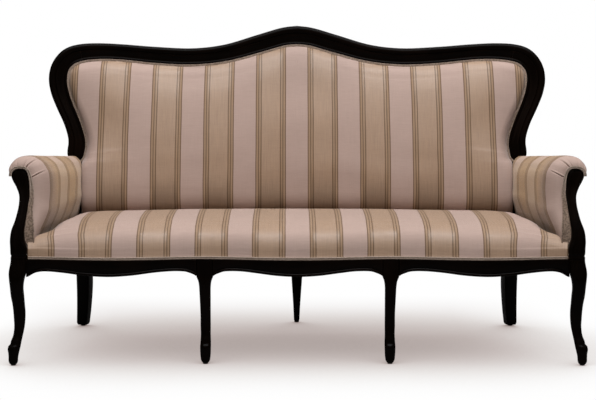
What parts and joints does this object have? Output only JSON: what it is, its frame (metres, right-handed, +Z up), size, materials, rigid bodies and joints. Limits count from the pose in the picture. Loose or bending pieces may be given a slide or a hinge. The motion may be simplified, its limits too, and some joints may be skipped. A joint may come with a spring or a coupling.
{
  "type": "three-seater sofa",
  "caption": "Long settee with a carved show-wood frame, serpentine crest and seat rail, cabriole front legs, raked rear legs and tight striped upholstery on seat, back and rolled arms.",
  "frame": {"origin": "on the floor under the middle of the settee's bounding box", "axes": "+X along the length, to the right as seen from in front; +Y to the rear; +Z up"},
  "size_m": [1.863, 0.7484, 1.0768],
  "materials": {
    "show_wood": "dark stained, satin polish",
    "frame_wood": "planed, unfinished softwood",
    "dowel_wood": "plain beech",
    "striped_cloth": "woven satin stripe, taupe pink and tan",
    "gimp": "flat braid and double welt in the colour of the cloth",
    "foam": "open-cell padding, matte",
    "jute": "coarse undyed weave",
    "spring_steel": "dull wire",
    "fastener_steel": "zinc grey",
    "glide_plastic": "dark brown, matte",
    "bottom_cloth": "thin black non-woven"
  },
  "bodies": {
    "root": {"crest_rail": "show_wood", "back_post_left": "show_wood", "back_post_right": "show_wood", "rear_leg_center": "show_wood", "front_leg_left": "show_wood", "front_leg_right": "show_wood", "front_leg_inner_left": "show_wood", "front_leg_inner_right": "show_wood", "arm_stump_left": "show_wood", "arm_stump_right": "show_wood", "front_rail_left": "show_wood", "front_rail_center": "show_wood", "front_rail_right": "show_wood", "side_rail_left": "show_wood", "side_rail_right": "show_wood", "rear_rail": "frame_wood", "cross_rail_left": "frame_wood", "cross_rail_right": "frame_wood", "corner_blocks": "frame_wood", "corner_block_screws": "fastener_steel", "arm_rail_left": "frame_wood", "arm_rail_right": "frame_wood", "arm_tack_rail_left": "frame_wood", "arm_tack_rail_right": "frame_wood", "back_tack_rail": "frame_wood", "back_uprights": "frame_wood", "frame_dowels": "dowel_wood", "glides": "glide_plastic", "glide_nails": "fastener_steel", "seat_springs": "spring_steel", "spring_clips": "spring_steel", "spring_tie_wires": "spring_steel", "seat_hessian": "jute", "seat_foam": "foam", "seat_cover": "striped_cloth", "back_webbing": "jute", "back_hessian": "jute", "back_foam": "foam", "back_cover": "striped_cloth", "arm_webbing_left": "jute", "arm_webbing_right": "jute", "arm_foam_left": "foam", "arm_foam_right": "foam", "arm_cover_left": "striped_cloth", "arm_cover_right": "striped_cloth", "outside_arm_panel_left": "striped_cloth", "outside_arm_panel_right": "striped_cloth", "outside_back_panel": "striped_cloth", "gimp_seat_front": "gimp", "gimp_arm_left": "gimp", "gimp_arm_right": "gimp", "gimp_back_inside": "gimp", "gimp_back_outside": "gimp", "dust_cover": "bottom_cloth"}
  },
  "joints": []
}
